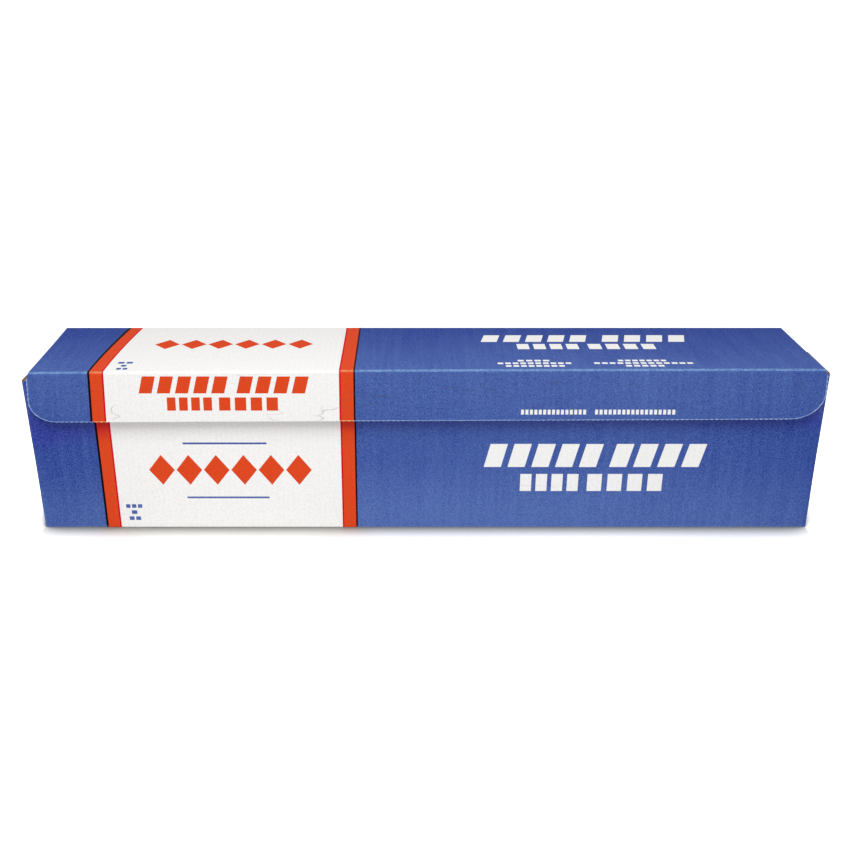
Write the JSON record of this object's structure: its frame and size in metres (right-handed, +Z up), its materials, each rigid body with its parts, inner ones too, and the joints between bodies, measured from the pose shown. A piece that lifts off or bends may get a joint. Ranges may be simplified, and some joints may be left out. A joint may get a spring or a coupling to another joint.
{
  "type": "boxed aluminium foil roll",
  "caption": "Roll of aluminium foil on a paperboard tube, in a long printed corrugated box with a hinged lid and a toothed cutting flap.",
  "frame": {"origin": "middle of the underside of the box", "axes": "+X along the box to the right as seen from the front, +Y to the back, +Z up"},
  "size_m": [0.472, 0.0951, 0.1014],
  "materials": {
    "printed_board": "satin",
    "blade_steel": "satin",
    "tube_board": "matte",
    "foil": "polished"
  },
  "bodies": {
    "tray": {"carton_tray": "printed_board", "roll_core": "tube_board", "foil_roll": "foil"},
    "lid": {"lid": "printed_board"},
    "flap": {"lid_front_flap": "printed_board", "cutter_blade": "blade_steel"}
  },
  "joints": [
    {"name": "lid_hinge", "type": "hinge", "parent": "tray", "child": "lid", "pos_m": [0.00075, 0.044, 0.1014], "axis": [-1, 0, 0], "range_deg": [0, 180]},
    {"name": "flap_hinge", "type": "hinge", "parent": "lid", "child": "flap", "pos_m": [0.00075, -0.0456, 0.1014], "axis": [-1, 0, 0], "range_deg": [-6, 79]}
  ]
}
